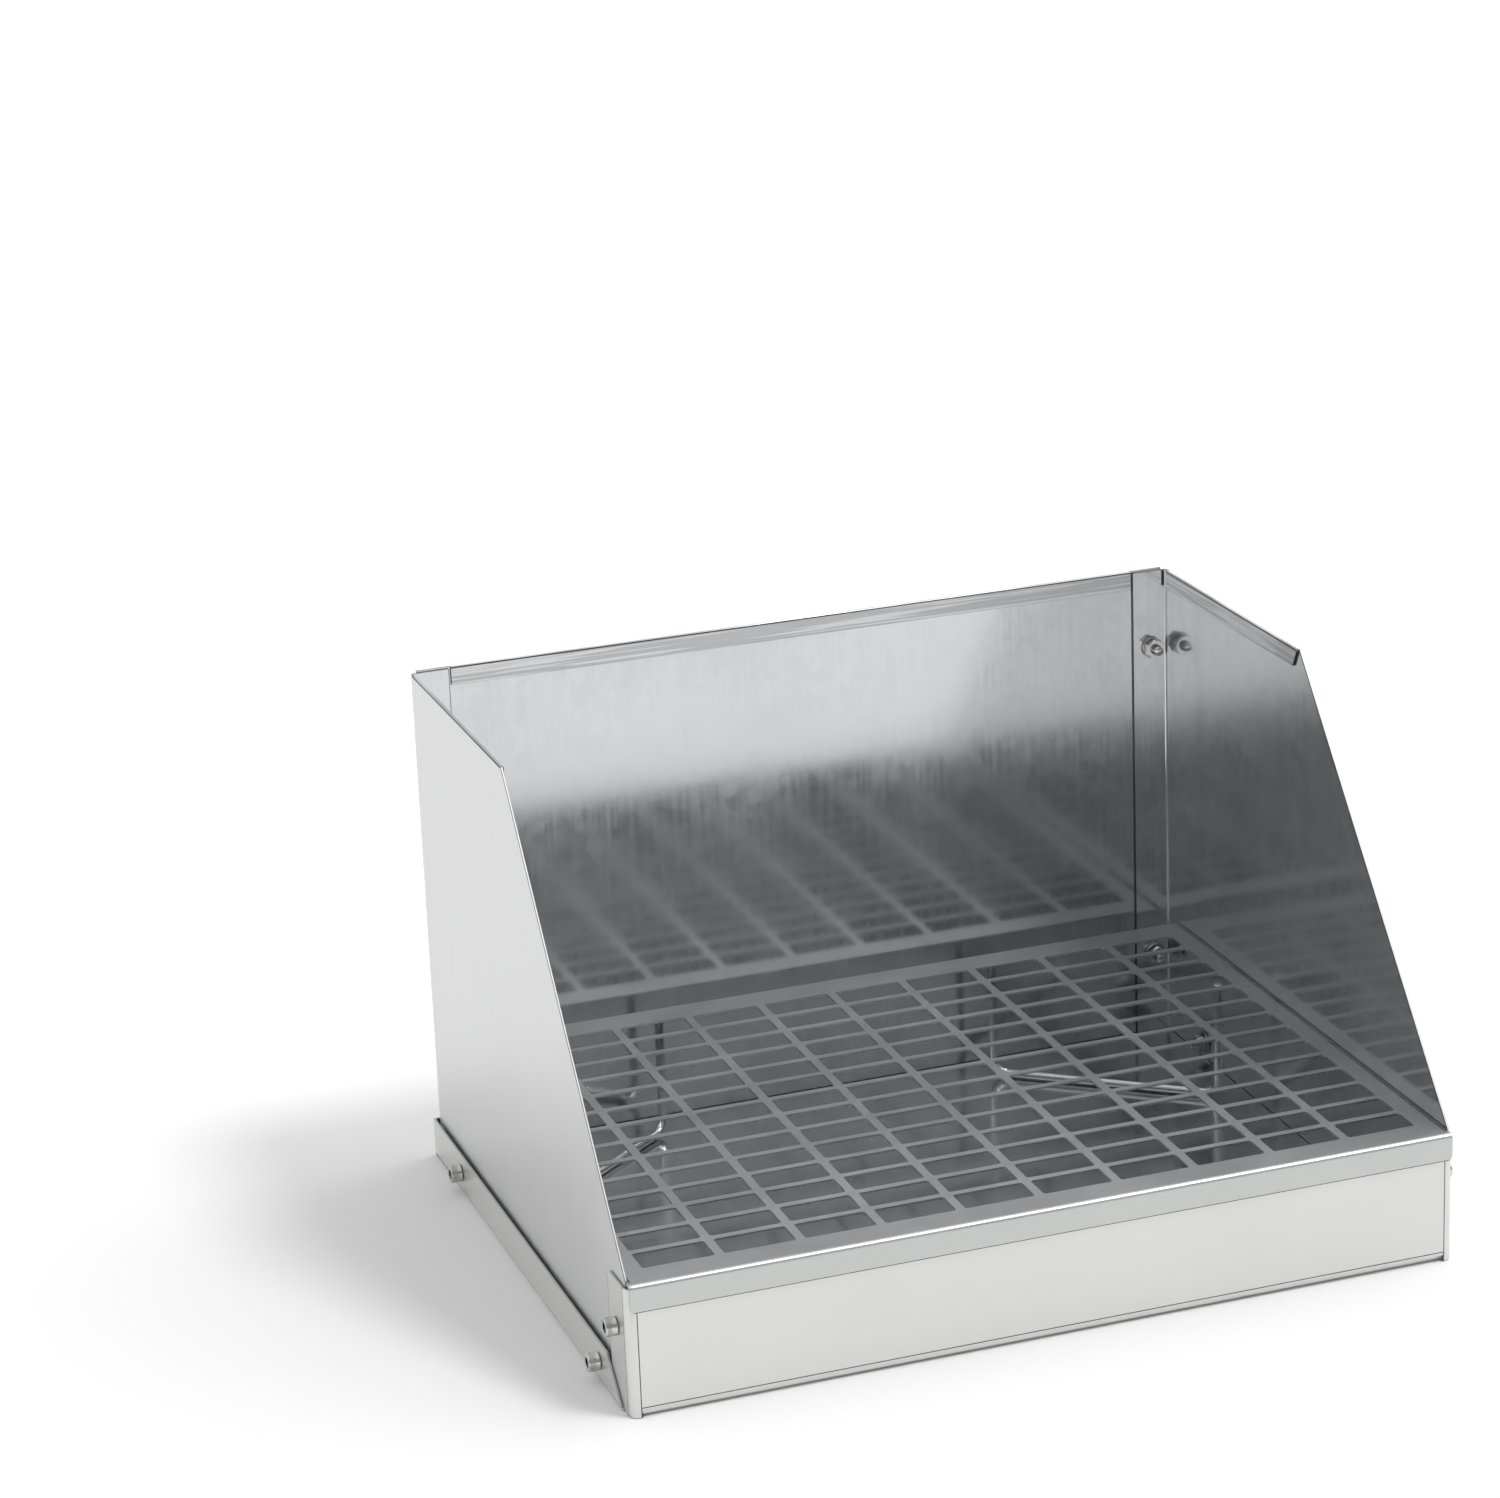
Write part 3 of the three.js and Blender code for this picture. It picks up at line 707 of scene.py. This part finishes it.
# ---- Support rods -------------------------------------------------------------------------------
# Two 5 mm drawn rods, each bent twice into a wide U. The foot lies slantwise on the pan's floor
# and the two legs stand up and carry the grate's rear corners.
rod_radius = 2.5 * mm
rod_fold = 9 * mm
rod_sides = 24
bend_steps = 10
inner_leg_out = 100 * mm  # from the middle of the box
inner_leg_in = 28 * mm  # in from the pan's back
outer_leg_in = 22 * mm  # in from the pan's side
outer_leg_ahead = 110 * mm  # in from the pan's back
end_round = 0.4 * mm
rod_finish = metal_finish(
    "drawn_rod", (0.8, 0.8, 0.81), (0.72, 0.725, 0.735), (0.1, 0.18), (500, 500, 40), 0.35,
)
for side, name in ((-1, "left"), (1, "right")):
    low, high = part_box(f"{name}_support_rod")
    foot = low.z + rod_radius
    inner = Vector((side * inner_leg_out, back - inner_leg_in, 0))
    outer = Vector((side * (pan_high.x - outer_leg_in), back - outer_leg_ahead, 0))
    way = (outer - inner).normalized()
    across = Vector((way.y, -way.x, 0))
    rod = bmesh.new()
    ring = bmesh.ops.create_circle(
        rod, segments=rod_sides, radius=rod_radius,
        matrix=Matrix.Translation((inner.x, inner.y, high.z)),
    )["verts"]
    rim = list({edge for point in ring for edge in point.link_edges})
    rim = pull(rod, rim, (0, 0, foot + rod_fold - high.z))
    bend_at = inner + way * rod_fold
    bend_at.z = foot + rod_fold
    rim = roll(rod, rim, bend_at, across, math.pi / 2, bend_steps)
    run = (outer - inner).length - 2 * rod_fold
    rim = pull(rod, rim, way * run)
    bend_at = outer - way * rod_fold
    bend_at.z = foot + rod_fold
    rim = roll(rod, rim, bend_at, across, math.pi / 2, bend_steps)
    pull(rod, rim, (0, 0, high.z - foot - rod_fold))
    ends = [edge for edge in rod.edges if edge.is_boundary]
    bmesh.ops.holes_fill(rod, edges=ends, sides=rod_sides)
    end_rims = [edge for edge in rod.edges if all(near(tip.co.z, high.z) for tip in edge.verts)]
    round_fold(rod, end_rims, end_round, 2)
    bmesh.ops.recalc_face_normals(rod, faces=rod.faces)
    finished(f"{name}_bent_rod", rod, [rod_finish], "box", [f"{name}_support_rod"])

# ---- Screws, washers and nuts ---------------------------------------------------------------------
# Ten bright plated M6 socket-head screws. Each head stands outside with a knurled rim and a hexagon
# socket. Inside, the thread runs through a plain washer and a chamfered hexagon nut.
head_radius = 4.8 * mm
head_length = 6.2 * mm
thread_radius = 2.9 * mm
thread_depth = 0.32 * mm
thread_pitch = 1 * mm
thread_lead = 1.6 * mm  # length of thread before the nut
socket_flats = 5 * mm
socket_corner = socket_flats / math.sqrt(3)
socket_depth = 3.2 * mm
socket_chamfer = 0.25 * mm
head_chamfer = 0.7 * mm
washer_radius = 6.2 * mm
washer_bore = 3.3 * mm
washer_thickness = 1.2 * mm
washer_round = 0.2 * mm
nut_flats = 10 * mm
nut_corner = nut_flats / math.sqrt(3)
nut_thickness = 5 * mm
nut_chamfer = 0.75 * mm
nut_clearance = 0.2 * mm
knurl_steps = 56
knurl_depth = 0.11 * mm
knurl_start = 0.9 * mm
knurl_end = head_length - 0.8 * mm
knurl_ease = 0.2 * mm
screw_finish = metal_finish(
    "bright_plating", (0.7, 0.695, 0.69), (0.52, 0.516, 0.512), (0.12, 0.2), (700, 700, 700), 0.3,
)
washer_finish = metal_finish(
    "plated_washer", (0.5, 0.495, 0.49), (0.38, 0.376, 0.372), (0.16, 0.22), (500, 500, 500), 0.4,
)


def turned(mesh, profile, steps):
    """Turns a profile of (radius, place along the axis) points round the +Z axis."""
    line = drawn(mesh, [(radius, 0, along) for radius, along in profile])
    corners = list({end for edge in line for end in edge.verts})
    bmesh.ops.spin(
        mesh, geom=corners + line, cent=(0, 0, 0), axis=(0, 0, 1), angle=2 * math.pi, steps=steps,
        use_merge=True,
    )
    bmesh.ops.remove_doubles(mesh, verts=mesh.verts, dist=0.005 * mm)


def ring_edges(mesh, radius, along):
    """The edges of a circle about the axis."""
    return edges_at(
        mesh, lambda at: near(math.hypot(at.x, at.y), radius) and near(at.z, along)
    )


def aimed(mesh, start, inward):
    """Lays a piece made along +Z into its hole."""
    turn = Vector(inward).to_track_quat("Z", "Y").to_matrix().to_4x4()
    bmesh.ops.transform(mesh, matrix=Matrix.Translation(start) @ turn, verts=mesh.verts)
    bmesh.ops.recalc_face_normals(mesh, faces=mesh.faces)


for side, side_name in ((-1, "left"), (1, "right")):
    for joint in ("tab", "front_pan", "rear_pan", "upper_back", "lower_back"):
        name = f"{side_name}_{joint}"
        low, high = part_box(f"{name}_screw")
        middle = (low + high) / 2
        if joint.endswith("back"):
            inward = Vector((0, -1, 0))
            start = Vector((middle.x, high.y, middle.z))
            length = high.y - low.y
        else:
            inward = Vector((-side, 0, 0))
            start = Vector((low.x if side < 0 else high.x, middle.y, middle.z))
            length = high.x - low.x

        nut_start = min(abs((corner - start).dot(inward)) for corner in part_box(f"{name}_nut"))

        screw = bmesh.new()
        socket_rim = socket_corner + socket_chamfer
        profile = [
            (socket_rim, 0),
            (head_radius - head_chamfer, 0),
            (head_radius - 0.25 * mm, 0.12 * mm),
            (head_radius, 0.55 * mm),
            (head_radius, knurl_start),
            (head_radius - knurl_depth / 2, knurl_start + knurl_ease),
            (head_radius - knurl_depth / 2, knurl_end - knurl_ease),
            (head_radius, knurl_end),
            (head_radius, head_length - 0.2 * mm),
            (head_radius - 0.2 * mm, head_length),
            (thread_radius, head_length),
            (thread_radius, nut_start - thread_lead),
        ]
        along = nut_start - thread_lead
        while along + thread_pitch < length - 0.5 * mm:
            profile += [
                (thread_radius - thread_depth, along + thread_pitch / 2),
                (thread_radius, along + thread_pitch),
            ]
            along += thread_pitch
        profile += [(thread_radius - thread_depth, length - 0.1 * mm), (0, length)]
        turned(screw, profile, knurl_steps)
        for point in screw.verts:
            turn = math.atan2(point.co.y, point.co.x) / (2 * math.pi) * knurl_steps
            inset = min(point.co.z - knurl_start, knurl_end - point.co.z)
            if round(turn) % 2 and inset > knurl_ease / 2:
                flat = Vector((point.co.x, point.co.y, 0)).normalized()
                point.co -= flat * knurl_depth
        mouth = ring_edges(screw, socket_rim, 0)
        six = bmesh.ops.create_circle(
            screw, segments=6, radius=socket_corner,
            matrix=Matrix.Translation((0, 0, socket_chamfer)),
        )["verts"]
        six_edges = list({edge for point in six for edge in point.link_edges})
        bmesh.ops.bridge_loops(screw, edges=mouth + six_edges)
        floor_edges = pull(screw, six_edges, (0, 0, socket_depth - socket_chamfer))
        bmesh.ops.edgeloop_fill(screw, edges=floor_edges)
        # Painted shade: the socket's walls and floor take the near-black edge finish.
        for wall in screw.faces:
            at = wall.calc_center_median()
            if math.hypot(at.x, at.y) < socket_flats / 2 + slack and at.z < socket_depth + slack:
                wall.material_index = 1
        aimed(screw, start, inward)
        finished(
            f"{name}_cap_screw", screw, [screw_finish, edge_shade_finish], "box",
            [f"{name}_screw"],
        )

        washer_start = min(abs((corner - start).dot(inward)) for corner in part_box(f"{name}_washer"))
        washer = bmesh.new()
        profile = [
            (washer_bore, 0),
            (washer_radius - washer_round, 0),
            (washer_radius, washer_round),
            (washer_radius, washer_thickness - washer_round),
            (washer_radius - washer_round, washer_thickness),
            (washer_bore + washer_round, washer_thickness),
            (washer_bore, washer_thickness - washer_round),
            (washer_bore, 0),
        ]
        turned(washer, profile, 40)
        aimed(washer, start + inward * washer_start, inward)
        finished(
            f"{name}_plain_washer", washer, [washer_finish], "box",
            [f"{name}_washer"],
        )

        nut = bmesh.new()
        bmesh.ops.create_circle(nut, segments=6, radius=nut_corner)
        bmesh.ops.create_circle(nut, segments=24, radius=thread_radius + nut_clearance)
        bmesh.ops.triangle_fill(nut, use_beauty=True, edges=nut.edges[:])
        raised = bmesh.ops.extrude_face_region(nut, geom=nut.faces[:], use_keep_orig=True)["geom"]
        bmesh.ops.translate(
            nut, verts=[part for part in raised if isinstance(part, bmesh.types.BMVert)],
            vec=(0, 0, nut_thickness),
        )
        tips = [
            point for point in nut.verts
            if near(math.hypot(point.co.x, point.co.y), nut_corner)
        ]
        round_corner(nut, tips, nut_chamfer, 1)
        aimed(nut, start + inward * nut_start, inward)
        finished(f"{name}_hex_nut", nut, [screw_finish], "box", [f"{name}_nut"])
